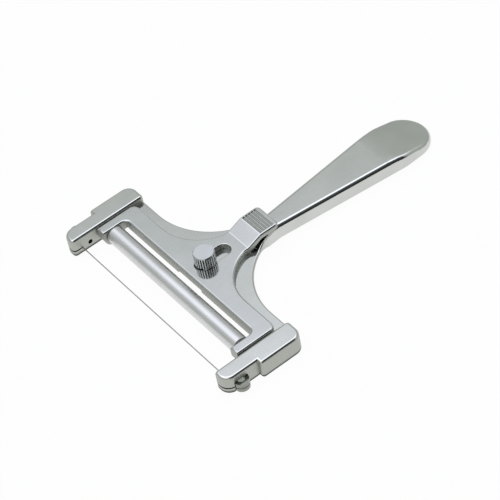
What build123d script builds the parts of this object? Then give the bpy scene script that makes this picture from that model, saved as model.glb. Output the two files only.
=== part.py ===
from build123d import *
import os
from math import cos, pi, radians, sin

# Wire cheese slicer: a cast frame, a sliding adjuster plate with a roller, a thumb screw and a cutting wire.
# Lengths are in millimetres. X runs along the wire, Y from the wire to the handle's end, Z up.
# The origin lies under the middle of the slicer, on the surface that it rests on.

# Overall layout
overall_length = 152.7
cutting_width = 98.8
block_height = 9.6

# End blocks
nose_width = 7.7
rear_block_width = 10.1
nose_length = 16.2
block_length = 38.0
nose_outer_radius = 4.8
nose_inner_radius = 1.6
step_corner_radius = 1.4
block_rear_outer_radius = 4.6
block_rear_inner_radius = 1.6
block_top_rounding = 1.2
block_bottom_rounding = 1.3

# Web between the blocks
web_top = 6.4
web_thickness = 2.2
web_front = 26.8
web_rear = 37.6
web_curve_start_x = 38.0
web_curve_middle_x = 15.4
web_curve_middle = 46.9
neck_start_half_width = 6.9
neck_start = 60.7
web_top_rounding = 0.8
web_bottom_rounding = 1.2
web_edge_margin = 0.1

# Handle
neck_half_width = 5.1
neck_end = 69.7
taper_end_half_width = 11.7
taper_end_from_tip = 21.5
handle_end_half_width = 11.5
handle_top = 7.8
handle_step_start = 53.5
handle_step_length = 6.0
underside_drop_start = 53.0
underside_drop_length = 14.0
handle_droop_length = 29.5
handle_end_edge_height = 3.5
handle_end_slope = 0.16
handle_rounding_start = 62.5
handle_top_rounding = 2.0
handle_bottom_rounding = 1.4

# Cutting wire and its end rings
wire_diameter = 0.5
wire_height = 3.5
wire_wrap_angle = 240.0
ring_outer_radius = 3.3
ring_hole_radius = 1.7
ring_height = 4.4
ring_groove_depth = 0.55
ring_groove_width = 0.8
ring_centre = 7.4
pocket_depth = 3.5
pocket_top_clearance = 0.3
ring_clearance = 0.1
wire_ring_gap = 0.02
slit_height = 0.7
slit_end_clearance = 0.2
cross_hole_diameter = 2.2
cross_hole_place = 8.6
cross_hole_height = 3.9

# Adjuster plate
plate_thickness = 2.9
plate_lift = 0.1
plate_side_gap = 0.8
plate_front = 24.7
plate_rear = 32.8
plate_rear_corner_radius = 3.2
plate_curve_start_x = 28.0
plate_curve_middle_x = 14.8
plate_curve_middle = 37.4
plate_neck_half_width = 7.1
plate_neck = 49.0
plate_edge_rounding = 0.8
plate_edge_margin = 0.05
ramp_start = 51.1
ramp_length = 7.0
ramp_rise = 2.9
ramp_blend_radius = 1.5
tab_half_width = 7.2
tab_end = 67.7
tab_corner_radius = 2.0
tab_groove_count = 5
tab_groove_pitch = 1.5
tab_groove_radius = 0.55
tab_groove_depth = 0.45
tab_thickness = 2.2
tab_groove_half_length = 6.2
tab_groove_first = 59.1
lip_thickness = 1.8
lip_bottom = 4.0
lip_relief_width = 16.0
lip_relief_height = 1.3
slot_edge_rounding = 0.4

# Fork arms and ears
arm_width = 4.7
arm_bottom = 4.5
arm_inner_corner_radius = 2.6
arm_front_corner_radius = 1.5
ear_radius = 5.3

# Roller on its axle
roller_axis = 17.9
roller_axis_height = 5.6
roller_diameter = 8.1
roller_wall = 0.6
roller_end_clearance = 0.5
roller_edge_rounding = 0.3
bush_length = 7.0
bush_flange = 0.3
axle_diameter = 2.5
axle_running_clearance = 0.05
axle_end_recess = 0.2

# Thumb screw, washer, guide key and slot
screw_axis = 33.9
plate_travel = 7.5
key_length = 9.5
key_width = 6.4
key_top_below_plate = 0.3
slot_side_clearance = 0.15
slot_front_clearance = 0.3
slot_rear_clearance = 0.3
screw_diameter = 4.0
screw_running_clearance = 0.05
screw_bottom = 2.2
boss_diameter = 10.0
boss_bottom = 1.6
knob_diameter = 9.4
knob_height = 5.7
knob_socket_depth = 3.6
knob_knurl_count = 27
knob_knurl_depth = 0.36
knob_top_chamfer = 0.5
knob_bottom_chamfer = 0.2
washer_diameter = 8.8
washer_thickness = 0.3
washer_gap = 0.05

# Working allowances for cuts and for picking edges
cut_margin = 1.0
hidden_corner_radius = 0.01
level_slope = 0.9
across_slope = 0.99

# Places worked out from the sizes above
front_y = -overall_length / 2
block_inner_x = cutting_width / 2
nose_outer_x = block_inner_x + nose_width
rear_outer_x = block_inner_x + rear_block_width
wire_radius = wire_diameter / 2
ring_groove_radius = ring_outer_radius - ring_groove_depth
wire_wrap_radius = ring_groove_radius + wire_radius + wire_ring_gap
ring_x = nose_outer_x - pocket_depth + ring_clearance + ring_outer_radius
plate_bottom = web_top + plate_lift
plate_top = plate_bottom + plate_thickness
plate_half_width = block_inner_x - plate_side_gap
arm_inner_x = plate_half_width - arm_width
roller_radius = roller_diameter / 2
roller_bore_radius = roller_radius - roller_wall
roller_half_length = arm_inner_x - roller_end_clearance
axle_radius = axle_diameter / 2
screw_radius = screw_diameter / 2
web_bottom = web_top - web_thickness
slot_width = key_width + 2 * slot_side_clearance
washer_bottom = plate_top + washer_gap
knob_bottom = washer_bottom + washer_thickness + washer_gap


def place(distance):
    """Return the Y coordinate that lies this far behind the blocks' front faces."""
    return front_y + distance


ring_y = place(ring_centre)
wire_y = ring_y - wire_wrap_radius
roller_y = place(roller_axis)
screw_y = place(screw_axis)


def upright(face, bottom, top):
    """Raise a plan drawn on the ground plane between two heights."""
    return Pos(0, 0, bottom) * extrude(face, top - bottom)


def block_of(x_from, x_to, y_from, y_to, z_from, z_to):
    """Return a box between the given limits."""
    centre = ((x_from + x_to) / 2, (y_from + y_to) / 2, (z_from + z_to) / 2)
    return Pos(*centre) * Box(x_to - x_from, y_to - y_from, z_to - z_from)


def mirrored(shape):
    """Return the shape's twin on the other side of the middle plane."""
    return mirror(shape, about=Plane.YZ)


def along_x(radius, half_length, y, z):
    """Return a cylinder along X, centred on the middle plane."""
    return Pos(0, y, z) * Rot(0, 90, 0) * Cylinder(radius, 2 * half_length)


def rounded_box_plan(x_from, x_to, y_from, y_to, corner_radii):
    """Return a rectangle whose corners, from low X and low Y anticlockwise, have their own radii."""
    corners = [(x_from, y_from), (x_to, y_from), (x_to, y_to), (x_from, y_to)]
    inward = [(1, 1), (-1, 1), (-1, -1), (1, -1)]
    along_x_first = [False, True, False, True]
    edges = []
    ends = []
    for (x, y), (dx, dy), swap, radius in zip(corners, inward, along_x_first, corner_radii):
        first = (x, y + dy * radius)
        second = (x + dx * radius, y)
        if swap:
            first, second = second, first
        bend = radius * (1 - cos(pi / 4))
        ends.append((first, second))
        edges.append(ThreePointArc(first, (x + dx * bend, y + dy * bend), second))
    for index, (first, second) in enumerate(ends):
        edges.append(Line(second, ends[(index + 1) % 4][0]))
    return make_face(edges)


def frame_plan():
    """Return the plan of web, neck and handle, drawn as one half and its mirror image."""
    rear_y = place(web_rear)
    half = [
        Line((0, place(web_front)), (block_inner_x, place(web_front))),
        Line((block_inner_x, place(web_front)), (block_inner_x, rear_y)),
        Line((block_inner_x, rear_y), (web_curve_start_x, rear_y)),
        ThreePointArc(
            (web_curve_start_x, rear_y),
            (web_curve_middle_x, place(web_curve_middle)),
            (neck_start_half_width, place(neck_start)),
        ),
    ]
    end_centre_y = place(overall_length) - handle_end_half_width
    neck_end_point = (neck_half_width, place(neck_end))
    taper_end_point = (taper_end_half_width, place(overall_length - taper_end_from_tip))
    taper = Line(neck_end_point, taper_end_point)
    half.append(
        Spline((neck_start_half_width, place(neck_start)), neck_end_point, tangents=(half[-1] % 1, taper % 0))
    )
    half.append(taper)
    half.append(
        Spline(taper_end_point, (handle_end_half_width, end_centre_y), tangents=(taper % 1, (0, 1)))
    )
    half.append(
        ThreePointArc(
            (handle_end_half_width, end_centre_y),
            (handle_end_half_width * sin(pi / 4), end_centre_y + handle_end_half_width * cos(pi / 4)),
            (0, place(overall_length)),
        )
    )
    other_half = [mirrored(edge) for edge in half]
    return make_face(half + other_half)


def frame_side():
    """Return the side view of web, neck and handle as a face in the YZ plane."""
    step_end = handle_step_start + handle_step_length
    drop_end = underside_drop_start + underside_drop_length
    end_y = place(overall_length)
    start_y = place(web_front)
    step_y = place(handle_step_start)
    droop_y = place(overall_length - handle_droop_length)
    outline = [
        Line((start_y, web_bottom), (start_y, web_top)),
        Line((start_y, web_top), (step_y, web_top)),
        Spline((step_y, web_top), (place(step_end), handle_top), tangents=((1, 0), (1, 0))),
        Line((place(step_end), handle_top), (droop_y, handle_top)),
        Spline(
            (droop_y, handle_top),
            (end_y, handle_end_edge_height),
            tangents=((1, 0), (1, -handle_end_slope)),
        ),
        Line((end_y, handle_end_edge_height), (end_y, 0)),
        Line((end_y, 0), (place(drop_end), 0)),
        Spline(
            (place(drop_end), 0),
            (place(underside_drop_start), web_bottom),
            tangents=((-1, 0), (-1, 0)),
        ),
        Line((place(underside_drop_start), web_bottom), (start_y, web_bottom)),
    ]
    return Plane.YZ * make_face(outline)


def outline_edges(body):
    """Return the long edges round web, neck and handle: first the upper ones, then the lower ones."""
    upper = []
    lower = []
    for edge in body.edges():
        middle = edge @ 0.5
        direction = edge % 0.5
        on_outline = abs(middle.X) > neck_half_width / 2 or middle.Y > place(overall_length) - cut_margin
        in_block = abs(middle.X) > block_inner_x - cut_margin
        in_front = middle.Y < place(block_length) - cut_margin
        if not on_outline or in_block or in_front or abs(direction.Z) > level_slope:
            continue
        if max((edge @ 0).Z, (edge @ 1).Z) > web_bottom + web_edge_margin:
            upper.append(edge)
        else:
            lower.append(edge)
    return upper, lower


def end_block():
    """Return the right end block with its wire slit, ring pocket and cross hole."""
    nose = rounded_box_plan(
        block_inner_x,
        nose_outer_x,
        front_y,
        place(nose_length) + step_corner_radius * 2,
        (nose_inner_radius, nose_outer_radius, hidden_corner_radius, hidden_corner_radius),
    )
    rear = rounded_box_plan(
        block_inner_x,
        rear_outer_x,
        place(nose_length),
        place(block_length),
        (hidden_corner_radius, step_corner_radius, block_rear_outer_radius, block_rear_inner_radius),
    )
    body = upright(nose + rear, 0, block_height)
    body = fillet(body.faces().sort_by(Axis.Z)[-1].edges(), block_top_rounding)
    body = fillet(body.faces().sort_by(Axis.Z)[0].edges(), block_bottom_rounding)
    slit = block_of(
        block_inner_x - cut_margin,
        nose_outer_x + cut_margin,
        front_y - cut_margin,
        wire_y + wire_radius + slit_end_clearance,
        wire_height - slit_height / 2,
        wire_height + slit_height / 2,
    )
    pocket_half = ring_outer_radius + ring_clearance
    pocket = block_of(
        nose_outer_x - pocket_depth,
        nose_outer_x + cut_margin,
        ring_y - pocket_half,
        ring_y + pocket_half,
        -cut_margin,
        wire_height + ring_height / 2 + pocket_top_clearance,
    )
    hole_length = 2 * nose_width
    hole = Pos(block_inner_x, place(cross_hole_place), cross_hole_height)
    hole = hole * Rot(0, 90, 0) * Cylinder(cross_hole_diameter / 2, hole_length)
    return body - slit - pocket - hole


def frame_length(y_from, y_to, top_rounding, bottom_rounding):
    """Return web, neck and handle between two Y places, with the long edges rounded."""
    plan = upright(frame_plan(), 0, block_height)
    side = Pos(-block_inner_x, 0, 0) * extrude(frame_side(), 2 * block_inner_x)
    body = plan & side & block_of(-block_inner_x, block_inner_x, y_from, y_to, 0, block_height)
    body = body.fillet(top_rounding, outline_edges(body)[0])
    return body.fillet(bottom_rounding, outline_edges(body)[1])


def frame_casting():
    """Return the one-piece casting: handle, neck, web, guide key, screw boss and end blocks."""
    join_y = place(handle_rounding_start)
    body = frame_length(place(web_front), join_y, web_top_rounding, web_bottom_rounding)
    body = body + frame_length(join_y, place(overall_length), handle_top_rounding, handle_bottom_rounding)
    block = end_block()
    body = body + block + mirrored(block)
    key_top = plate_top - key_top_below_plate
    key = SlotOverall(key_length, key_width, rotation=90)
    body = body + Pos(0, screw_y, web_top) * extrude(key, key_top - web_top)
    boss_height = web_bottom - boss_bottom
    body = body + Pos(0, screw_y, boss_bottom + boss_height / 2) * Cylinder(boss_diameter / 2, boss_height)
    thread = Pos(0, screw_y, block_height / 2)
    thread = thread * Cylinder(screw_radius + screw_running_clearance, 2 * block_height)
    return body - thread


def adjuster_plan():
    """Return the plan of the adjuster plate with its arms and tab, drawn as one half and its mirror image."""
    front = place(plate_front)
    rear = place(plate_rear)
    ear_front = roller_y - ear_radius
    bend = 1 - cos(pi / 4)
    inner_bend = arm_inner_corner_radius * bend
    tip_bend = arm_front_corner_radius * bend
    rear_bend = plate_rear_corner_radius * bend
    tab_bend = tab_corner_radius * bend
    tab_rear = place(tab_end)
    tip_inner_x = arm_inner_x + arm_front_corner_radius
    tip_outer_x = plate_half_width - arm_front_corner_radius
    tip_y = ear_front + arm_front_corner_radius
    throat_y = front - arm_inner_corner_radius
    shoulder_y = rear - plate_rear_corner_radius
    half = [
        Line((0, front), (arm_inner_x - arm_inner_corner_radius, front)),
        ThreePointArc(
            (arm_inner_x - arm_inner_corner_radius, front),
            (arm_inner_x - inner_bend, front - inner_bend),
            (arm_inner_x, throat_y),
        ),
        Line((arm_inner_x, throat_y), (arm_inner_x, tip_y)),
        ThreePointArc(
            (arm_inner_x, tip_y),
            (arm_inner_x + tip_bend, ear_front + tip_bend),
            (tip_inner_x, ear_front),
        ),
        Line((tip_inner_x, ear_front), (tip_outer_x, ear_front)),
        ThreePointArc(
            (tip_outer_x, ear_front),
            (plate_half_width - tip_bend, ear_front + tip_bend),
            (plate_half_width, tip_y),
        ),
        Line((plate_half_width, tip_y), (plate_half_width, shoulder_y)),
        ThreePointArc(
            (plate_half_width, shoulder_y),
            (plate_half_width - rear_bend, rear - rear_bend),
            (plate_half_width - plate_rear_corner_radius, rear),
        ),
        Line((plate_half_width - plate_rear_corner_radius, rear), (plate_curve_start_x, rear)),
        ThreePointArc(
            (plate_curve_start_x, rear),
            (plate_curve_middle_x, place(plate_curve_middle)),
            (plate_neck_half_width, place(plate_neck)),
        ),
        Line((plate_neck_half_width, place(plate_neck)), (tab_half_width, tab_rear - tab_corner_radius)),
        ThreePointArc(
            (tab_half_width, tab_rear - tab_corner_radius),
            (tab_half_width - tab_bend, tab_rear - tab_bend),
            (tab_half_width - tab_corner_radius, tab_rear),
        ),
        Line((tab_half_width - tab_corner_radius, tab_rear), (0, tab_rear)),
    ]
    return make_face(half + [mirrored(edge) for edge in half])


def adjuster_side():
    """Return the side view of plate, ramp and tab as a face in the YZ plane."""
    front = roller_y - ear_radius
    start = place(ramp_start)
    end = place(ramp_start + ramp_length)
    tab_rear = place(tab_end)
    tab_top = plate_top + ramp_rise
    tab_bottom = tab_top - tab_thickness
    outline = [
        Line((front, plate_bottom), (front, plate_top)),
        Line((front, plate_top), (start, plate_top)),
        Line((start, plate_top), (end, tab_top)),
        Line((end, tab_top), (tab_rear, tab_top)),
        Line((tab_rear, tab_top), (tab_rear, tab_bottom)),
        Line((tab_rear, tab_bottom), (end, tab_bottom)),
        Line((end, tab_bottom), (start, plate_bottom)),
        Line((start, plate_bottom), (front, plate_bottom)),
    ]
    profile = make_face(outline)
    bends = [corner for corner in profile.vertices() if abs(corner.X - (start + end) / 2) < ramp_length]
    return Plane.YZ * fillet(bends, ramp_blend_radius)


def fork_arm():
    """Return the right arm of the fork below the plate, with its round ear."""
    front = roller_y - ear_radius
    bar = block_of(
        arm_inner_x, plate_half_width, roller_y, place(plate_front) + lip_thickness, arm_bottom, plate_top
    )
    ear = Pos(arm_inner_x + arm_width / 2, roller_y, roller_axis_height) * Rot(0, 90, 0)
    ear = ear * Cylinder(ear_radius, arm_width)
    cheek = block_of(arm_inner_x, plate_half_width, front, roller_y, roller_axis_height, plate_top)
    above = block_of(
        arm_inner_x - cut_margin,
        plate_half_width + cut_margin,
        front - cut_margin,
        roller_y + ear_radius + cut_margin,
        plate_top,
        plate_top + ear_radius,
    )
    return bar + ear + cheek - above


def on_upper_surface(point):
    """Tell whether a corner of the plate lies on its upper surface, which steps up to the tab."""
    surface = plate_top
    if point.Y > place(ramp_start + ramp_length) - plate_edge_margin:
        surface = plate_top + ramp_rise
    return point.Z > surface - plate_edge_margin


def upper_plate_edges(body):
    """Return the outer edges of the plate's upper surface, ramp and tab."""
    ramp_from = place(ramp_start) - cut_margin
    tab_to = place(tab_end) - cut_margin
    chosen = []
    for edge in body.edges():
        crosses_tab = abs((edge % 0.5).X) > across_slope and ramp_from < (edge @ 0.5).Y < tab_to
        if on_upper_surface(edge @ 0) and on_upper_surface(edge @ 1) and not crosses_tab:
            chosen.append(edge)
    return chosen


def slot_rim(body):
    """Return the slot's upper edges."""
    chosen = []
    for edge in body.edges():
        middle = edge @ 0.5
        at_top = abs(middle.Z - plate_top) < plate_edge_margin
        if at_top and abs(middle.X) < slot_width and middle.Y > place(plate_front) + lip_thickness:
            if middle.Y < place(ramp_start) - cut_margin:
                chosen.append(edge)
    return chosen


def adjuster_plate():
    """Return the sliding plate with its fork, front lip, guide slot and ridged tab."""
    plan = upright(adjuster_plan(), 0, 2 * plate_top)
    body = plan & (Pos(-plate_half_width, 0, 0) * extrude(adjuster_side(), 2 * plate_half_width))
    lip_rear = place(plate_front) + lip_thickness
    lip = block_of(-arm_inner_x, arm_inner_x, place(plate_front), lip_rear, lip_bottom, plate_top)
    relief = block_of(
        -lip_relief_width / 2,
        lip_relief_width / 2,
        place(plate_front) - cut_margin,
        lip_rear + cut_margin,
        lip_bottom - cut_margin,
        lip_bottom + lip_relief_height,
    )
    arm = fork_arm()
    body = body + (lip - relief) + arm + mirrored(arm)
    body = fillet(upper_plate_edges(body), plate_edge_rounding)
    key_front = screw_y - key_length / 2
    key_rear = screw_y + key_length / 2
    slot_front = key_front - slot_front_clearance
    slot_rear = key_rear + plate_travel + slot_rear_clearance
    slot_plan = SlotOverall(slot_rear - slot_front, slot_width, rotation=90)
    slot_place = Pos(0, (slot_front + slot_rear) / 2, plate_bottom - cut_margin)
    slot = slot_place * extrude(slot_plan, plate_thickness + 2 * cut_margin)
    body = body - slot
    body = fillet(slot_rim(body), slot_edge_rounding)
    tab_top = plate_top + ramp_rise
    groove_height = tab_top - tab_groove_depth + tab_groove_radius
    for index in range(tab_groove_count):
        groove_y = place(tab_groove_first + index * tab_groove_pitch)
        body = body - along_x(tab_groove_radius, tab_groove_half_length, groove_y, groove_height)
    body = body - along_x(axle_radius, 2 * plate_half_width, roller_y, roller_axis_height)
    return body


def roller_tube():
    """Return the hollow roller with its rounded ends."""
    tube = along_x(roller_radius, roller_half_length, roller_y, roller_axis_height)
    tube = fillet(tube.edges(), roller_edge_rounding)
    return tube - along_x(roller_bore_radius, roller_half_length + cut_margin, roller_y, roller_axis_height)


def roller_bush():
    """Return the right bush: a plug pressed into the tube, with a thrust face that stands out."""
    inner_x = roller_half_length - bush_length
    outer_x = roller_half_length + bush_flange
    thrust_radius = axle_radius + (roller_bore_radius - axle_radius) / 2
    plug = Pos((inner_x + roller_half_length) / 2, roller_y, roller_axis_height) * Rot(0, 90, 0)
    plug = plug * Cylinder(roller_bore_radius, bush_length)
    thrust = Pos((roller_half_length + outer_x) / 2, roller_y, roller_axis_height) * Rot(0, 90, 0)
    thrust = thrust * Cylinder(thrust_radius, bush_flange)
    bore = along_x(axle_radius + axle_running_clearance, 2 * roller_half_length, roller_y, roller_axis_height)
    return plug + thrust - bore


def roller_axle():
    """Return the pin that carries the roller in the two ears."""
    return along_x(axle_radius, plate_half_width - axle_end_recess, roller_y, roller_axis_height)


def thumb_screw_stud():
    """Return the screw's shank from inside the knob down into the boss."""
    top = knob_bottom + knob_socket_depth
    return Pos(0, screw_y, (top + screw_bottom) / 2) * Cylinder(screw_radius, top - screw_bottom)


def thumb_screw_knob():
    """Return the knob with its straight knurl and the socket for the stud."""
    knob_radius = knob_diameter / 2
    knob = Pos(0, screw_y, knob_bottom + knob_height / 2) * Cylinder(knob_radius, knob_height)
    knob = chamfer(knob.edges().sort_by(Axis.Z)[-1], knob_top_chamfer)
    knob = chamfer(knob.edges().sort_by(Axis.Z)[0], knob_bottom_chamfer)
    cutter_reach = 2 * knob_knurl_depth
    cutter_side = cutter_reach * 2 ** 0.5
    cutters = []
    for index in range(knob_knurl_count):
        turn = 360 / knob_knurl_count * index
        cutter = Rot(0, 0, turn) * Pos(knob_radius - knob_knurl_depth + cutter_reach, 0, 0)
        cutter = cutter * Rot(0, 0, 45) * Box(cutter_side, cutter_side, 3 * knob_height)
        cutters.append(Pos(0, screw_y, knob_bottom) * cutter)
    knob = knob - cutters
    socket = Pos(0, screw_y, knob_bottom + knob_socket_depth / 2) * Cylinder(screw_radius, knob_socket_depth)
    return knob - socket


def thumb_screw_washer():
    """Return the flat washer under the knob."""
    centre = Pos(0, screw_y, washer_bottom + washer_thickness / 2)
    disc = centre * Cylinder(washer_diameter / 2, washer_thickness)
    return disc - centre * Cylinder(screw_radius + screw_running_clearance, 2 * washer_thickness)


def wire_end_ring():
    """Return the right ring, with the groove that the wire lies in."""
    centre = Pos(ring_x, ring_y, wire_height)
    ring = centre * Cylinder(ring_outer_radius, ring_height)
    hole = centre * Cylinder(ring_hole_radius, 2 * ring_height)
    outside = centre * Cylinder(2 * ring_outer_radius, ring_groove_width)
    inside = centre * Cylinder(ring_groove_radius, 2 * ring_groove_width)
    return ring - hole - (outside - inside)


def cutting_wire():
    """Return the wire: a straight run through both slits and an arc round the ring at each end."""
    wrap = radians(wire_wrap_angle)
    half_wrap = wrap / 2

    def on_ring(angle):
        """Return the point of the wrap this far round from where the straight run meets the ring."""
        return (
            ring_x + wire_wrap_radius * sin(angle),
            ring_y - wire_wrap_radius * cos(angle),
            wire_height,
        )

    def left(point):
        """Return the point's twin on the left side."""
        return (-point[0], point[1], point[2])

    path = Wire(
        [
            ThreePointArc(left(on_ring(wrap)), left(on_ring(half_wrap)), left(on_ring(0))),
            Line(left(on_ring(0)), on_ring(0)),
            ThreePointArc(on_ring(0), on_ring(half_wrap), on_ring(wrap)),
        ]
    )
    section = Plane(origin=path @ 0, z_dir=path % 0) * Circle(wire_radius)
    return sweep(section, path=path)


def export(shape, name):
    """Write one piece under its own name."""
    shape.label = name
    export_step(shape, "parts/" + name + ".step")


bush = roller_bush()
ring = wire_end_ring()
pieces = {
    "frame_casting": frame_casting(),
    "adjuster_plate": adjuster_plate(),
    "roller_tube": roller_tube(),
    "roller_bush_right": bush,
    "roller_bush_left": mirrored(bush),
    "roller_axle": roller_axle(),
    "thumb_screw_knob": thumb_screw_knob(),
    "thumb_screw_stud": thumb_screw_stud(),
    "thumb_screw_washer": thumb_screw_washer(),
    "cutting_wire": cutting_wire(),
    "wire_end_ring_right": ring,
    "wire_end_ring_left": mirrored(ring),
}
os.makedirs("parts", exist_ok=True)
for name, piece in pieces.items():
    export(piece, name)
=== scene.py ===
"""Visual model of an adjustable wire cheese slicer on a pale floor.

The CAD nodes keep their own shapes and get smooth shading and plated, turned, drawn and moulded finishes.
Some finishes hold painted light: darker walls, groove floors, bands and the ring are painted shade, and
the knurl's paler ridges are a painted sheen.
The screw's shank is a new piece with a real thread. Lengths are in metres, in the frame of the CAD model.
"""

import logging
import math
from dataclasses import dataclass
from enum import Enum
from functools import cache

import bpy
import numpy as np
from mathutils import Matrix, Vector


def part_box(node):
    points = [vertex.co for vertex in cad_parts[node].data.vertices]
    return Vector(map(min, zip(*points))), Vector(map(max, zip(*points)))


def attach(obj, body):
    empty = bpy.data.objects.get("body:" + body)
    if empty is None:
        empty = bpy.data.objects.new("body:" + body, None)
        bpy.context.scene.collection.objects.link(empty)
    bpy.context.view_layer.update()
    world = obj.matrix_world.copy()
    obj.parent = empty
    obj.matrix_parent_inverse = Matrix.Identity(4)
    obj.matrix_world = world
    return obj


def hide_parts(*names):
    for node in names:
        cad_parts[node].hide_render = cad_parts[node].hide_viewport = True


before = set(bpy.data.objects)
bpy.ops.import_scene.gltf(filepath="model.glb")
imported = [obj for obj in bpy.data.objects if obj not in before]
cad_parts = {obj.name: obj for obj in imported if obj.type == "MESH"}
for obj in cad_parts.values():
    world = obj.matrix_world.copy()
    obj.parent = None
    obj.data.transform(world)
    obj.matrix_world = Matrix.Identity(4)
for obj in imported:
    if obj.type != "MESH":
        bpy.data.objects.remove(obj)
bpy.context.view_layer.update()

LOG = logging.getLogger("cheese_slicer")
MILLIMETRE = 0.001
MICROMETRE = 0.000001

Colour = tuple[float, float, float]
Socket = bpy.types.NodeSocket


class Grain(Enum):
    """Direction in which the fine tool marks run, as a stretch of their pattern on each axis."""

    NONE = (1.0, 1.0, 1.0)
    ALONG_X = (0.04, 1.0, 1.0)
    ROUND_X = (1.0, 0.06, 0.06)
    ROUND_Z = (0.06, 0.06, 1.0)


class NodeGraph:
    """Short calls that add shader nodes and join them.

    Attributes:
        noise_low: The value that few points of a noise fall below.
        noise_high: The value that few points of a noise rise above.
    """

    noise_low = 0.3
    noise_high = 0.7

    def __init__(self, tree: bpy.types.NodeTree) -> None:
        """Start from an empty tree.

        Args:
            tree: The node tree to fill.
        """
        self.tree = tree
        tree.nodes.clear()

    def add(self, kind: str, **settings: object) -> bpy.types.Node:
        """Add a node and set its properties.

        Args:
            kind: Blender's type name of the node.
            **settings: Properties of the node by name.

        Returns:
            The new node.
        """
        node = self.tree.nodes.new(kind)
        for name, value in settings.items():
            setattr(node, name, value)
        return node

    def join(self, source: Socket, target: Socket) -> None:
        """Link an output to an input."""
        self.tree.links.new(source, target)

    def parts(self, source: Socket) -> bpy.types.NodeOutputs:
        """Split a vector, and return the outputs named X, Y and Z."""
        split = self.add("ShaderNodeSeparateXYZ")
        self.join(source, split.inputs["Vector"])
        return split.outputs

    def scaled(self, source: Socket, scale: tuple[float, float, float]) -> Socket:
        """Stretch coordinates by one factor on each axis.

        Args:
            source: The coordinates.
            scale: The factors for X, Y and Z.

        Returns:
            The stretched coordinates.
        """
        mapping = self.add("ShaderNodeMapping")
        mapping.inputs["Scale"].default_value = scale
        self.join(source, mapping.inputs["Vector"])
        return mapping.outputs["Vector"]

    def noise(self, source: Socket, size: float, detail: float) -> Socket:
        """Add a noise whose features have about the given size.

        Args:
            source: The coordinates.
            size: The size of a feature in metres.
            detail: The number of finer layers.

        Returns:
            The noise's value, from 0 to 1.
        """
        texture = self.add("ShaderNodeTexNoise")
        texture.inputs["Scale"].default_value = 1.0 / size
        texture.inputs["Detail"].default_value = detail
        self.join(source, texture.inputs["Vector"])
        return texture.outputs["Fac"]

    def ranged(self, source: Socket, low: float, high: float) -> Socket:
        """Spread the middle of a noise over a range of values.

        Args:
            source: The noise.
            low: The value where the noise is low.
            high: The value where the noise is high.

        Returns:
            The spread value.
        """
        spread = self.add("ShaderNodeMapRange")
        spread.inputs["From Min"].default_value = self.noise_low
        spread.inputs["From Max"].default_value = self.noise_high
        spread.inputs["To Min"].default_value = low
        spread.inputs["To Max"].default_value = high
        self.join(source, spread.inputs["Value"])
        return spread.outputs["Result"]

    def stepped(self, source: Socket, start: float, end: float) -> Socket:
        """Rise smoothly from 0 at the start to 1 at the end.

        Args:
            source: The value to follow.
            start: Where the step starts.
            end: Where the step ends, on either side of the start.

        Returns:
            The step.
        """
        step = self.add("ShaderNodeMapRange", interpolation_type="SMOOTHSTEP")
        step.inputs["From Min"].default_value = min(start, end)
        step.inputs["From Max"].default_value = max(start, end)
        step.inputs["To Min"].default_value = 0.0 if start < end else 1.0
        step.inputs["To Max"].default_value = 1.0 if start < end else 0.0
        self.join(source, step.inputs["Value"])
        return step.outputs["Result"]

    def product(self, first: Socket, second: Socket) -> Socket:
        """Multiply two values."""
        node = self.add("ShaderNodeMath", operation="MULTIPLY")
        self.join(first, node.inputs[0])
        self.join(second, node.inputs[1])
        return node.outputs[0]

    def raised(self, value: Socket, share: Socket, amount: float) -> Socket:
        """Add a share of a fixed amount to a value.

        Args:
            value: The value to raise.
            share: The share of the amount.
            amount: The amount.

        Returns:
            The raised value.
        """
        node = self.add("ShaderNodeMath", operation="MULTIPLY_ADD")
        node.inputs[1].default_value = amount
        self.join(share, node.inputs[0])
        self.join(value, node.inputs[2])
        return node.outputs[0]

    def blended(self, share: Socket, first: Socket, second: Colour) -> Socket:
        """Blend from a colour that comes from nodes to a fixed one.

        Args:
            share: The share of the second colour.
            first: The first colour.
            second: The second colour, linear.

        Returns:
            The blended colour.
        """
        mix = self.add("ShaderNodeMix", data_type="RGBA")
        self.join(share, mix.inputs["Factor"])
        self.join(first, self.colour_socket(mix, "A"))
        self.colour_socket(mix, "B").default_value = (*second, 1.0)
        return self.colour_output(mix)

    @staticmethod
    def colour_socket(node: bpy.types.Node, name: str) -> Socket:
        """Return the colour input with this name of a Mix node."""
        return next(s for s in node.inputs if s.name == name and s.type == "RGBA")

    @staticmethod
    def colour_output(node: bpy.types.Node) -> Socket:
        """Return the colour output of a Mix node."""
        return next(s for s in node.outputs if s.type == "RGBA")

    def bumped(self, height: Socket, distance: float, below: Socket | None = None) -> Socket:
        """Turn a height into a bumped normal.

        Args:
            height: The height, from 0 to 1.
            distance: What a height of 1 stands for, in metres.
            below: The normal that this bump lies on.

        Returns:
            The bumped normal.
        """
        bump = self.add("ShaderNodeBump")
        bump.inputs["Strength"].default_value = 1.0
        bump.inputs["Distance"].default_value = distance
        self.join(height, bump.inputs["Height"])
        if below is not None:
            self.join(below, bump.inputs["Normal"])
        return bump.outputs["Normal"]


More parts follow.
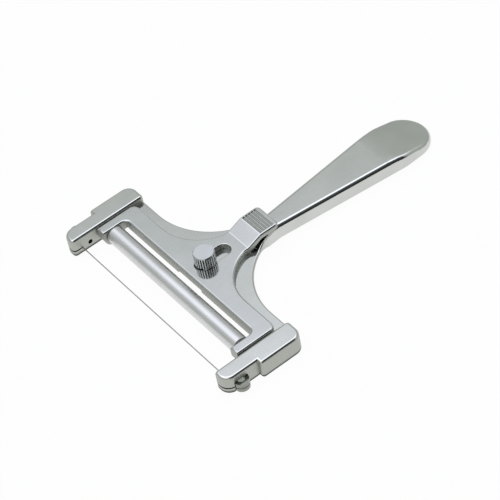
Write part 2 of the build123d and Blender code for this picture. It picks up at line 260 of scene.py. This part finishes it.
@dataclass(frozen=True)
class WallPaintedTone:
    """Upright walls, whose colour is painted shade, or on the knob's ridges a painted sheen, and which
    are rougher than level faces.

    Attributes:
        colour: The linear base colour of a wall: painted shade, or on the knob's ridges a painted sheen.
        added_roughness: What is added to the roughness there.
        end: The Y in metres behind which walls have the same colour and roughness as the rest, or None
            for nowhere.
        fade: The distance before the end over which the wall's finish fades out.
        level: The upright part of the normal from which a face counts as level.
        upright: The upright part of the normal below which a face is a wall in full.
    """

    colour: Colour
    added_roughness: float
    end: float | None = None
    fade: float = 12.0 * MILLIMETRE
    level: float = 0.75
    upright: float = 0.30

    def share(self, graph: NodeGraph, normal: Socket, place: Socket) -> Socket:
        """Tell walls from level faces by the upright part of the normal.

        Args:
            graph: The tree.
            normal: The normal.
            place: The point.

        Returns:
            1 on an upright wall, 0 on a level or sloping face and behind the end.
        """
        upright_part = graph.add("ShaderNodeMath", operation="ABSOLUTE")
        graph.join(graph.parts(normal)["Z"], upright_part.inputs[0])
        share = graph.stepped(upright_part.outputs[0], self.level, self.upright)
        if self.end is None:
            return share
        before = graph.stepped(graph.parts(place)["Y"], self.end, self.end - self.fade)
        return graph.product(share, before)


@dataclass(frozen=True)
class GroovePaintedShade:
    """Painted shade in the knurl's grooves, darker than the ridges between them.

    Attributes:
        colour: The linear base colour in a groove, painted shade.
        axis: The X and Y of the upright axis that the grooves lie round, in metres.
        floor_radius: The radius of a groove's floor.
        ridge_radius: The radius of the ridges.
    """

    colour: Colour
    axis: tuple[float, float]
    floor_radius: float
    ridge_radius: float

    def share(self, graph: NodeGraph, place: Socket) -> Socket:
        """Work out how deep in a groove a point lies, from its level distance to the axis.

        Args:
            graph: The tree.
            place: The point.

        Returns:
            1 on a groove's floor, 0 on a ridge.
        """
        offset = graph.add("ShaderNodeVectorMath", operation="SUBTRACT")
        offset.inputs[1].default_value = (*self.axis, 0.0)
        graph.join(place, offset.inputs[0])
        level_offset = graph.scaled(offset.outputs[0], (1.0, 1.0, 0.0))
        distance = graph.add("ShaderNodeVectorMath", operation="LENGTH")
        graph.join(level_offset, distance.inputs[0])
        return graph.stepped(distance.outputs["Value"], self.ridge_radius, self.floor_radius)


@dataclass(frozen=True)
class PaintedShadeBand:
    """A band of painted shade between two heights, over part of the length.

    Attributes:
        colour: The linear base colour in the band, painted shade.
        top: The height where the band starts, in metres.
        bottom: The height where it is full.
        lower_end: The height below which it has gone again, or None for a band without a lower end.
        front: The Y where the band starts.
        rear: The Y where it ends.
        fade: The distance over which it fades at front, rear and lower end.
    """

    colour: Colour
    top: float
    bottom: float
    lower_end: float | None
    front: float
    rear: float
    fade: float = 0.2 * MILLIMETRE

    def share(self, graph: NodeGraph, place: Socket) -> Socket:
        """Work out how far a point lies in the band, as the product of its steps along Z and Y.

        Args:
            graph: The tree.
            place: The point.

        Returns:
            1 in the band, 0 outside.
        """
        parts = graph.parts(place)
        height, along = parts["Z"], parts["Y"]
        share = graph.stepped(height, self.top, self.bottom)
        share = graph.product(share, graph.stepped(along, self.front - self.fade, self.front))
        share = graph.product(share, graph.stepped(along, self.rear + self.fade, self.rear))
        if self.lower_end is None:
            return share
        return graph.product(share, graph.stepped(height, self.lower_end - self.fade, self.lower_end))


@dataclass(frozen=True)
class Finish:
    """A finish with a wandering tint and roughness over fine marks and broad waves.

    Attributes:
        name: The material's name.
        colour: The linear base colour.
        roughness: The middle of the roughness.
        roughness_spread: How far the roughness wanders either way.
        wave_size: The size of a broad wave in metres.
        wave_height: The height of a broad wave in metres.
        wave_detail: The number of finer layers in the waves.
        tint_spread: How far the colour wanders, as a share of it.
        tint_size: The size of the patches of tint in metres.
        tint_detail: The number of finer layers in the patches.
        grain: The direction of the fine marks.
        mark_size: The width of a fine mark in metres.
        mark_height: The height of a fine mark in metres.
        mark_detail: The number of finer layers in the marks.
        metallic: 1 for a metal, 0 for anything else.
        wall: The painted tone of upright walls (painted shade, or a painted sheen on the knob's ridges)
            with their added roughness, or None where it is the same.
        groove: Painted shade in the knurl's grooves in the walls, or None for a piece without.
        band: A band of painted shade, or None for a piece without.
    """

    name: str
    colour: Colour
    roughness: float
    roughness_spread: float
    wave_size: float
    wave_height: float
    wave_detail: float = 1.0
    tint_spread: float = 0.04
    tint_size: float = 12.0 * MILLIMETRE
    tint_detail: float = 3.0
    grain: Grain = Grain.NONE
    mark_size: float = 0.3 * MILLIMETRE
    mark_height: float = 0.15 * MICROMETRE
    mark_detail: float = 2.0
    metallic: float = 1.0
    wall: WallPaintedTone | None = None
    groove: GroovePaintedShade | None = None
    band: PaintedShadeBand | None = None

    @cache
    def material(self) -> bpy.types.Material:
        """Build the node material at the first call, and return the same one at later calls.

        The roughness is the middle plus or minus its spread, as the marks go. The normal is the marks'
        bump laid on the waves' bump. The walls' painted tone, the painted shade in grooves and the band
        of painted shade are blended in over the tinted colour, and walls have their roughness added.

        Returns:
            The material.
        """
        made = bpy.data.materials.new(self.name)
        made.use_nodes = True
        graph = NodeGraph(made.node_tree)
        coordinates = graph.add("ShaderNodeTexCoord")
        place = coordinates.outputs["Object"]
        marks = graph.noise(graph.scaled(place, self.grain.value), self.mark_size, self.mark_detail)
        waves = graph.noise(place, self.wave_size, self.wave_detail)
        colour = self.tinted_colour(graph, place)
        low = self.roughness - self.roughness_spread
        high = self.roughness + self.roughness_spread
        roughness = graph.ranged(marks, low, high)
        if self.wall is not None:
            painted_wall_share = self.wall.share(graph, coordinates.outputs["Normal"], place)
            colour = graph.blended(painted_wall_share, colour, self.wall.colour)
            roughness = graph.raised(roughness, painted_wall_share, self.wall.added_roughness)
            if self.groove is not None:
                deep = graph.product(painted_wall_share, self.groove.share(graph, place))
                colour = graph.blended(deep, colour, self.groove.colour)
        if self.band is not None:
            colour = graph.blended(self.band.share(graph, place), colour, self.band.colour)
        shader = graph.add("ShaderNodeBsdfPrincipled")
        shader.inputs["Metallic"].default_value = self.metallic
        graph.join(colour, shader.inputs["Base Color"])
        graph.join(roughness, shader.inputs["Roughness"])
        wavy_normal = graph.bumped(waves, self.wave_height)
        graph.join(graph.bumped(marks, self.mark_height, wavy_normal), shader.inputs["Normal"])
        output = graph.add("ShaderNodeOutputMaterial")
        graph.join(shader.outputs["BSDF"], output.inputs["Surface"])
        return made

    def tinted_colour(self, graph: NodeGraph, place: Socket) -> Socket:
        """Let the base colour wander in soft patches, between itself times 1 less and 1 plus the spread.

        Args:
            graph: The tree.
            place: The point.

        Returns:
            The wandering colour.
        """
        patches = graph.noise(place, self.tint_size, self.tint_detail)
        tint = graph.add("ShaderNodeMix", data_type="RGBA")
        graph.join(graph.ranged(patches, 0.0, 1.0), tint.inputs["Factor"])
        for socket, factor in (("A", 1.0 - self.tint_spread), ("B", 1.0 + self.tint_spread)):
            shade = [channel * factor for channel in self.colour]
            graph.colour_socket(tint, socket).default_value = (*shade, 1.0)
        return graph.colour_output(tint)


PLATED_CASTING = Finish(
    name="plated_casting",
    colour=(0.585, 0.600, 0.580),
    roughness=0.11,
    roughness_spread=0.03,
    wave_size=5.0 * MILLIMETRE,
    wave_height=9.0 * MICROMETRE,
    # Walls of the end blocks and noses, in front of the end: painted shade, darker and olive, with added
    # roughness.
    wall=WallPaintedTone(
        colour=(0.500, 0.510, 0.475),
        added_roughness=0.42,
        end=-12.0 * MILLIMETRE,
    ),
    # Painted shade: a near-black band low on the end blocks and noses, near the floor.
    band=PaintedShadeBand(
        colour=(0.040, 0.046, 0.040),
        top=2.4 * MILLIMETRE,
        bottom=1.0 * MILLIMETRE,
        lower_end=None,
        front=-77.0 * MILLIMETRE,
        rear=-38.0 * MILLIMETRE,
    ),
)
PLATED_SLIDE = Finish(
    name="plated_slide",
    colour=(0.580, 0.595, 0.590),
    roughness=0.12,
    roughness_spread=0.03,
    wave_size=6.0 * MILLIMETRE,
    wave_height=8.0 * MICROMETRE,
    # Walls of the slide: painted shade, darker than its level faces, with added roughness.
    wall=WallPaintedTone(
        colour=(0.460, 0.470, 0.440),
        added_roughness=0.42,
    ),
    # Painted shade on the floors of the tab's grooves.
    band=PaintedShadeBand(
        colour=(0.300, 0.310, 0.285),
        top=11.98 * MILLIMETRE,
        bottom=11.87 * MILLIMETRE,
        lower_end=11.75 * MILLIMETRE,
        front=-18.0 * MILLIMETRE,
        rear=-10.4 * MILLIMETRE,
    ),
)
DRAWN_TUBE = Finish(
    name="drawn_tube",
    colour=(0.690, 0.690, 0.700),
    roughness=0.32,
    roughness_spread=0.02,
    wave_size=10.0 * MILLIMETRE,
    wave_height=2.0 * MICROMETRE,
    grain=Grain.ROUND_X,
    mark_size=0.4 * MILLIMETRE,
    mark_height=0.06 * MICROMETRE,
)
TURNED_KNOB = Finish(
    name="turned_knob",
    colour=(0.640, 0.655, 0.680),
    roughness=0.20,
    roughness_spread=0.05,
    wave_size=3.0 * MILLIMETRE,
    wave_height=3.0 * MICROMETRE,
    grain=Grain.ROUND_Z,
    # Walls of the knurl: a painted sheen, paler than the top, with added roughness.
    wall=WallPaintedTone(
        colour=(0.800, 0.815, 0.805),
        added_roughness=0.25,
    ),
    # Painted shade, near black, in the knurl's grooves.
    groove=GroovePaintedShade(
        colour=(0.035, 0.040, 0.038),
        axis=(0.0, -42.45 * MILLIMETRE),
        floor_radius=4.45 * MILLIMETRE,
        ridge_radius=4.66 * MILLIMETRE,
    ),
)
BRIGHT_STEEL = Finish(
    name="bright_steel",
    colour=(0.560, 0.555, 0.545),
    roughness=0.22,
    roughness_spread=0.05,
    wave_size=3.0 * MILLIMETRE,
    wave_height=2.0 * MICROMETRE,
    grain=Grain.ROUND_Z,
    mark_size=0.2 * MILLIMETRE,
)
AXLE_STEEL = Finish(
    name="axle_steel",
    colour=(0.500, 0.495, 0.485),
    roughness=0.28,
    roughness_spread=0.05,
    wave_size=3.0 * MILLIMETRE,
    wave_height=2.0 * MICROMETRE,
    grain=Grain.ALONG_X,
    mark_size=0.2 * MILLIMETRE,
)
DRAWN_WIRE = Finish(
    name="drawn_wire",
    colour=(0.400, 0.395, 0.390),
    roughness=0.30,
    roughness_spread=0.05,
    wave_size=2.0 * MILLIMETRE,
    wave_height=1.0 * MICROMETRE,
    tint_size=4.0 * MILLIMETRE,
    grain=Grain.ALONG_X,
    mark_size=0.1 * MILLIMETRE,
    mark_height=0.2 * MICROMETRE,
)
# Dark colour: painted shade of the pocket in the nose that the ring sits in.
PLATED_RING_PAINTED_SHADE = Finish(
    name="plated_ring",
    colour=(0.270, 0.290, 0.255),
    roughness=0.16,
    roughness_spread=0.04,
    wave_size=2.0 * MILLIMETRE,
    wave_height=3.0 * MICROMETRE,
)
MOULDED_BUSH = Finish(
    name="moulded_bush",
    colour=(0.700, 0.700, 0.680),
    roughness=0.42,
    roughness_spread=0.06,
    wave_size=3.0 * MILLIMETRE,
    wave_height=4.0 * MICROMETRE,
    tint_spread=0.05,
    tint_size=4.0 * MILLIMETRE,
    mark_size=0.2 * MILLIMETRE,
    mark_height=1.5 * MICROMETRE,
    metallic=0.0,
)


class MeshGrid:
    """A mesh worked out on a grid of two parameters."""

    @staticmethod
    def closed_tube(points: np.ndarray) -> tuple[np.ndarray, list[tuple[int, ...]]]:
        """Join rows of points into a tube with a flat fan at each end.

        Point (i, j) is number i * columns + j. Each quad joins (i, j), (i, j + 1), (i + 1, j + 1) and
        (i + 1, j), with j counted round. One more point in the middle of each end closes it.

        Args:
            points: The points, as rows by columns by 3. A row runs anticlockwise, and the rows go up.

        Returns:
            The points as a list of rows of 3 and the faces, which point outwards.
        """
        rows, columns = points.shape[:2]
        index = np.arange(rows * columns).reshape(rows, columns)
        after = np.roll(index, -1, axis=1)
        quads = np.stack([index[:-1], after[:-1], after[1:], index[1:]], axis=-1).reshape(-1, 4)
        bottom, top = rows * columns, rows * columns + 1
        low = np.stack([after[0], index[0], np.full(columns, bottom)], axis=-1)
        high = np.stack([index[-1], after[-1], np.full(columns, top)], axis=-1)
        middles = np.stack([points[0].mean(axis=0), points[-1].mean(axis=0)])
        coordinates = np.concatenate([points.reshape(-1, 3), middles])
        faces = [tuple(face) for part in (quads, low, high) for face in part.tolist()]
        return coordinates, faces

    @staticmethod
    def object_from(name: str, coordinates: np.ndarray, faces: list[tuple[int, ...]]) -> bpy.types.Object:
        """Make an object at the origin whose place is in its mesh.

        Args:
            name: The piece's name.
            coordinates: The points.
            faces: The faces.

        Returns:
            The new object.
        """
        mesh = bpy.data.meshes.new(name)
        mesh.from_pydata(coordinates.tolist(), [], faces)
        mesh.update()
        made = bpy.data.objects.new(name, mesh)
        bpy.context.scene.collection.objects.link(made)
        return made


class Shading:
    """Smooth shading that keeps the sharp edges, made with modifiers so that meshes stay as they are.

    Attributes:
        merging_distance: The distance below which points become one.
        sharp_angle: The angle between two faces above which their edge is sharp.
        face_weight: The say of large faces in the normals beside them, where 50 is neutral.
    """

    merging_distance = 1.0 * MICROMETRE
    sharp_angle = math.radians(32.0)
    face_weight = 60

    @classmethod
    @cache
    def smoothing_group(cls) -> bpy.types.NodeTree:
        """Build the node group at the first call, and return the same one at later calls.

        Points closer than the merging distance become one. All faces turn smooth, and an edge turns sharp
        where its two faces meet at more than the sharp angle.

        Returns:
            The node group.
        """
        tree = bpy.data.node_groups.new("smooth_between_edges", "GeometryNodeTree")
        tree.interface.new_socket("Geometry", in_out="INPUT", socket_type="NodeSocketGeometry")
        tree.interface.new_socket("Geometry", in_out="OUTPUT", socket_type="NodeSocketGeometry")
        graph = NodeGraph(tree)
        entry = graph.add("NodeGroupInput")
        merge = graph.add("GeometryNodeMergeByDistance")
        merge.inputs["Distance"].default_value = cls.merging_distance
        faces = graph.add("GeometryNodeSetShadeSmooth", domain="FACE")
        angle = graph.add("GeometryNodeInputMeshEdgeAngle")
        sharp = graph.add("FunctionNodeCompare", data_type="FLOAT", operation="GREATER_THAN")
        sharp.inputs[1].default_value = cls.sharp_angle
        edges = graph.add("GeometryNodeSetShadeSmooth", domain="EDGE")
        edges.inputs["Shade Smooth"].default_value = False
        leave = graph.add("NodeGroupOutput")
        graph.join(entry.outputs["Geometry"], merge.inputs["Geometry"])
        graph.join(merge.outputs["Geometry"], faces.inputs["Geometry"])
        graph.join(faces.outputs["Geometry"], edges.inputs["Geometry"])
        graph.join(angle.outputs["Unsigned Angle"], sharp.inputs[0])
        graph.join(sharp.outputs["Result"], edges.inputs["Selection"])
        graph.join(edges.outputs["Geometry"], leave.inputs["Geometry"])
        return tree

    @classmethod
    def smooth(cls, piece: bpy.types.Object) -> None:
        """Give a piece smooth shading between its sharp edges.

        Args:
            piece: The object.
        """
        smoothing = piece.modifiers.new("smooth between edges", "NODES")
        smoothing.node_group = cls.smoothing_group()
        weighted = piece.modifiers.new("weighted normals", "WEIGHTED_NORMAL")
        weighted.keep_sharp = True
        weighted.weight = cls.face_weight


@dataclass
class SubAssembly:
    """Pieces of the slicer that are dressed together.

    Attributes:
        title: The name used in the log.
    """

    title: str

    def finishes(self) -> dict[str, Finish]:
        """Return the finish of each CAD node of the sub-assembly."""
        return {}

    def make_pieces(self) -> list[bpy.types.Object]:
        """Return the new pieces of the sub-assembly."""
        return []

    def build(self) -> None:
        """Dress the CAD nodes and make the new pieces."""
        for node, finish in self.finishes().items():
            self.dress(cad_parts[node], finish)
            LOG.info("%s: %s is %s", self.title, node, finish.name)
        for piece in self.make_pieces():
            LOG.info("%s: made %s with %d points", self.title, piece.name, len(piece.data.vertices))

    @staticmethod
    def dress(piece: bpy.types.Object, finish: Finish) -> None:
        """Give a piece its finish and smooth shading.

        Args:
            piece: The object.
            finish: The finish.
        """
        if not piece.material_slots:
            piece.data.materials.append(None)
        for slot in piece.material_slots:
            slot.material = finish.material()
        Shading.smooth(piece)


@dataclass
class FrameCasting(SubAssembly):
    """Handle, web and end blocks in one plated casting."""

    title: str = "frame casting"

    def finishes(self) -> dict[str, Finish]:
        """Return the casting's finish."""
        return {"frame_casting": PLATED_CASTING}


@dataclass
class CuttingWire(SubAssembly):
    """The wire between the end blocks and the rings that hold its ends."""

    title: str = "cutting wire"

    def finishes(self) -> dict[str, Finish]:
        """Return the finishes of wire and rings."""
        return {
            "cutting_wire": DRAWN_WIRE,
            "wire_end_ring_left": PLATED_RING_PAINTED_SHADE,
            "wire_end_ring_right": PLATED_RING_PAINTED_SHADE,
        }


@dataclass
class Adjuster(SubAssembly):
    """The sliding plate with its fork and the axle in its ears."""

    title: str = "adjuster"

    def finishes(self) -> dict[str, Finish]:
        """Return the finishes of plate and axle."""
        return {"adjuster_plate": PLATED_SLIDE, "roller_axle": AXLE_STEEL}


@dataclass
class Roller(SubAssembly):
    """The tube that turns on the axle, with a bush in each end."""

    title: str = "roller"

    def finishes(self) -> dict[str, Finish]:
        """Return the finishes of tube and bushes."""
        return {
            "roller_tube": DRAWN_TUBE,
            "roller_bush_left": MOULDED_BUSH,
            "roller_bush_right": MOULDED_BUSH,
        }


@dataclass
class ThumbScrew(SubAssembly):
    """Knob, washer and threaded shank.

    Attributes:
        pitch: The rise of the thread in one turn.
        thread_depth: The depth of the thread.
        crest_share: The share of the pitch that the flat crest takes.
        end_chamfer: The height over which the thread fades out at each end.
        columns: The number of points round the shank.
        rows_per_turn: The number of rows of points in one pitch.
    """

    title: str = "thumb screw"
    pitch: float = 0.7 * MILLIMETRE
    thread_depth: float = 0.38 * MILLIMETRE
    crest_share: float = 0.18
    end_chamfer: float = 0.5 * MILLIMETRE
    columns: int = 48
    rows_per_turn: int = 10

    def finishes(self) -> dict[str, Finish]:
        """Return the finishes of knob and washer."""
        return {"thumb_screw_knob": TURNED_KNOB, "thumb_screw_washer": BRIGHT_STEEL}

    def make_pieces(self) -> list[bpy.types.Object]:
        """Make the threaded shank, which stands for the plain one of the CAD model.

        Returns:
            The shank.
        """
        coordinates, faces = MeshGrid.closed_tube(self.thread_points())
        shank = MeshGrid.object_from("threaded_shank", coordinates, faces)
        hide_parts("thumb_screw_stud")
        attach(shank, "thumb_screw")
        self.dress(shank, BRIGHT_STEEL)
        return [shank]

    def thread_points(self) -> np.ndarray:
        """Work out the shank's surface.

        With u the share of a turn and z the height, the phase is the fraction of z over pitch less u. The
        fall is the distance of the phase from a crest's middle, less half the crest's share, over half a
        pitch less the crest's share, and is kept between 0 on the crest and 1 in the root. The radius is
        the outer radius less the depth times the fall, and no more than the radius at an end plus the
        distance from that end.

        Returns:
            The points, as rows by columns by 3.
        """
        low, high = (np.array(corner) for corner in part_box("thumb_screw_stud"))
        outer = (high[0] - low[0]) / 2.0
        centre = (low + high) / 2.0
        rows = int(round((high[2] - low[2]) / self.pitch * self.rows_per_turn)) + 1
        height = np.linspace(low[2], high[2], rows)[:, None]
        turn = np.linspace(0.0, 1.0, self.columns, endpoint=False)[None, :]
        phase = np.mod(height / self.pitch - turn, 1.0)
        away = np.abs(phase - 0.5)
        fall = np.clip((away - self.crest_share / 2.0) / (0.5 - self.crest_share), 0.0, 1.0)
        from_end = np.minimum(height - low[2], high[2] - height)
        radius = np.minimum(outer - self.thread_depth * fall, outer - self.end_chamfer + from_end)
        x = centre[0] + radius * np.cos(turn * 2.0 * math.pi)
        y = centre[1] + radius * np.sin(turn * 2.0 * math.pi)
        return np.stack([x, y, np.broadcast_to(height, x.shape)], axis=-1)


@dataclass(frozen=True)
class FloorFinish:
    """The pale floor.

    Attributes:
        colour: The linear colour.
        plain_share: The share of plain white, without shadow, that the camera and polished metal see.
    """

    colour: Colour = (0.86, 0.86, 0.855)
    plain_share: float = 0.96

    def material(self) -> bpy.types.Material:
        """Build the node material.

        Returns:
            The material.
        """
        made = bpy.data.materials.new("pale_floor")
        made.use_nodes = True
        graph = NodeGraph(made.node_tree)
        matt = graph.add("ShaderNodeBsdfDiffuse")
        matt.inputs["Color"].default_value = (*self.colour, 1.0)
        white = graph.add("ShaderNodeEmission")
        ray = graph.add("ShaderNodeLightPath")
        seen = ray.outputs["Is Camera Ray"]
        for kind in ("Is Glossy Ray", "Is Transmission Ray"):
            either = graph.add("ShaderNodeMath", operation="MAXIMUM")
            graph.join(seen, either.inputs[0])
            graph.join(ray.outputs[kind], either.inputs[1])
            seen = either.outputs[0]
        share = graph.add("ShaderNodeMath", operation="MULTIPLY")
        share.inputs[1].default_value = self.plain_share
        graph.join(seen, share.inputs[0])
        mixed = graph.add("ShaderNodeMixShader")
        graph.join(share.outputs[0], mixed.inputs["Fac"])
        graph.join(matt.outputs["BSDF"], mixed.inputs[1])
        graph.join(white.outputs["Emission"], mixed.inputs[2])
        output = graph.add("ShaderNodeOutputMaterial")
        graph.join(mixed.outputs["Shader"], output.inputs["Surface"])
        return made


@dataclass
class Studio:
    """Floor, light and camera.

    Attributes:
        floor_half_size: Half the floor's side.
        floor_height: The floor's height, just under the slicer so that the two don't touch.
        levels: The brightness of the room by the height angle in degrees.
        dim_level: The brightness up to which the light has the dim tint.
        dim_tint: The tint of dim light, slightly green.
        bright_level: The brightness from which the light has the bright tint.
        bright_tint: The tint of bright light, slightly blue.
        full_level: The brightness that a ramp's colour of 1 stands for, above all the levels.
        dark_level: What is left of the light on the room's dark side.
        dark_side: The X part of a direction where the dark starts and where it is full.
        dark_height: The Z part of a direction where the dark starts and where it is full.
        dark_rear: The Y part of a direction where the dark starts at the rear and where it is full.
        dark_front: The same at the front.
        camera_place: The camera's place.
        azimuth: The camera's azimuth in degrees.
        elevation: The camera's elevation in degrees.
        roll: The camera's roll in degrees.
        lens: The focal length in millimetres.
        sensor: The sensor's width in millimetres.
        nearest: The distance from which the camera sees.
        farthest: The distance up to which it sees.
    """

    floor_half_size: float = 4.0
    floor_height: float = -0.02 * MILLIMETRE
    levels: tuple[tuple[float, float], ...] = (
        (0.0, 0.53),
        (20.0, 0.53),
        (35.0, 0.56),
        (40.0, 0.60),
        (43.0, 0.635),
        (44.8, 0.68),
        (46.1, 0.79),
        (47.5, 0.92),
        (49.2, 1.06),
        (53.0, 1.45),
        (60.0, 1.85),
        (90.0, 1.85),
    )
    dim_level: float = 0.5
    dim_tint: Colour = (0.965, 1.015, 0.955)
    bright_level: float = 1.0
    bright_tint: Colour = (0.975, 0.995, 1.070)
    full_level: float = 2.5
    dark_level: float = 0.08
    dark_side: tuple[float, float] = (0.0, 0.1809)
    dark_height: tuple[float, float] = (0.985, 0.94)
    dark_rear: tuple[float, float] = (0.60, 0.44)
    dark_front: tuple[float, float] = (-0.45, -0.25)
    camera_place: tuple[float, float, float] = (0.598258, -0.357959, 0.727091)
    azimuth: float = 60.59005354
    elevation: float = 46.65522731
    roll: float = -11.96
    lens: float = 172.1
    sensor: float = 36.0
    nearest: float = 0.01
    farthest: float = 50.0

    def build(self) -> None:
        """Make the camera, the light and the floor."""
        self.make_camera()
        self.make_room_light()
        self.make_floor()
        LOG.info("studio: camera, light and floor made")

    def make_floor(self) -> None:
        """Make the floor, a square just under the slicer."""
        half = self.floor_half_size
        side = np.array([-half, half])
        x, y = np.meshgrid(side, side)
        coordinates = np.stack([x.ravel(), y.ravel(), np.full(x.size, self.floor_height)], axis=-1)
        floor = MeshGrid.object_from("floor", coordinates, [(0, 1, 3, 2)])
        floor.data.materials.append(FloorFinish().material())

    def make_room_light(self) -> None:
        """Light the room softly from above, dimmer near the floor and dark on one side.

        The brightness is a ramp over the sine of the height angle. The dark is the product of four steps
        over the direction's parts, for how far it points along X, how low, how little to the rear and how
        little to the front. Where it is 1, the brightness is multiplied by the dark level.
        """
        world = bpy.data.worlds.new("soft_room")
        world.use_nodes = True
        bpy.context.scene.world = world
        graph = NodeGraph(world.node_tree)
        parts = graph.parts(graph.add("ShaderNodeTexCoord").outputs["Generated"])
        ramp = graph.add("ShaderNodeValToRGB")
        self.fill_ramp(ramp.color_ramp)
        graph.join(parts["Z"], ramp.inputs["Fac"])
        facing = graph.stepped(parts["X"], *self.dark_side)
        low = graph.stepped(parts["Z"], *self.dark_height)
        off_rear = graph.stepped(parts["Y"], *self.dark_rear)
        off_front = graph.stepped(parts["Y"], *self.dark_front)
        dark = graph.product(graph.product(facing, low), graph.product(off_rear, off_front))
        strength = graph.add("ShaderNodeMapRange")
        strength.inputs["To Min"].default_value = self.full_level
        strength.inputs["To Max"].default_value = self.full_level * self.dark_level
        graph.join(dark, strength.inputs["Value"])
        background = graph.add("ShaderNodeBackground")
        graph.join(ramp.outputs["Color"], background.inputs["Color"])
        graph.join(strength.outputs["Result"], background.inputs["Strength"])
        output = graph.add("ShaderNodeOutputWorld")
        graph.join(background.outputs["Background"], output.inputs["Surface"])

    def fill_ramp(self, ramp: bpy.types.ColorRamp) -> None:
        """Set the ramp's stops from the levels, tinted from dim to bright as the level rises.

        Args:
            ramp: The ramp to fill.
        """
        ramp.interpolation = "LINEAR"
        while len(ramp.elements) > 1:
            ramp.elements.remove(ramp.elements[-1])
        for index, (angle, level) in enumerate(self.levels):
            position = math.sin(math.radians(angle))
            stop = ramp.elements[0] if index == 0 else ramp.elements.new(position)
            stop.position = position
            span = (self.dim_level, self.bright_level)
            tint = [np.interp(level, span, ends) for ends in zip(self.dim_tint, self.bright_tint)]
            stop.color = (*[level / self.full_level * channel for channel in tint], 1.0)

    def make_camera(self) -> None:
        """Place the camera at the photograph's viewing angle.

        Back points from the scene to the camera, level is the picture's horizontal before the roll, and
        upright is their cross product. The roll turns both about back.
        """
        azimuth, elevation, roll = np.radians([self.azimuth, self.elevation, self.roll]).tolist()
        level = Vector((math.cos(azimuth), math.sin(azimuth), 0.0))
        away = Vector((math.sin(azimuth), -math.cos(azimuth), 0.0))
        back = math.cos(elevation) * away + math.sin(elevation) * Vector((0.0, 0.0, 1.0))
        upright = back.cross(level)
        right = math.cos(roll) * level + math.sin(roll) * upright
        up = -math.sin(roll) * level + math.cos(roll) * upright
        camera = bpy.data.objects.new("camera", bpy.data.cameras.new("camera"))
        camera.data.sensor_width = self.sensor
        camera.data.lens = self.lens
        camera.data.clip_start = self.nearest
        camera.data.clip_end = self.farthest
        turn = Matrix((right, up, back)).transposed().to_4x4()
        camera.matrix_world = Matrix.Translation(self.camera_place) @ turn
        bpy.context.scene.collection.objects.link(camera)
        bpy.context.scene.camera = camera


def main() -> None:
    """Build the studio and dress the slicer."""
    logging.basicConfig(level=logging.INFO, format="%(name)s: %(message)s")
    bpy.context.scene.view_settings.view_transform = "Standard"
    Studio().build()
    for part in (FrameCasting(), CuttingWire(), Adjuster(), Roller(), ThumbScrew()):
        part.build()


if __name__ == "__main__":
    main()
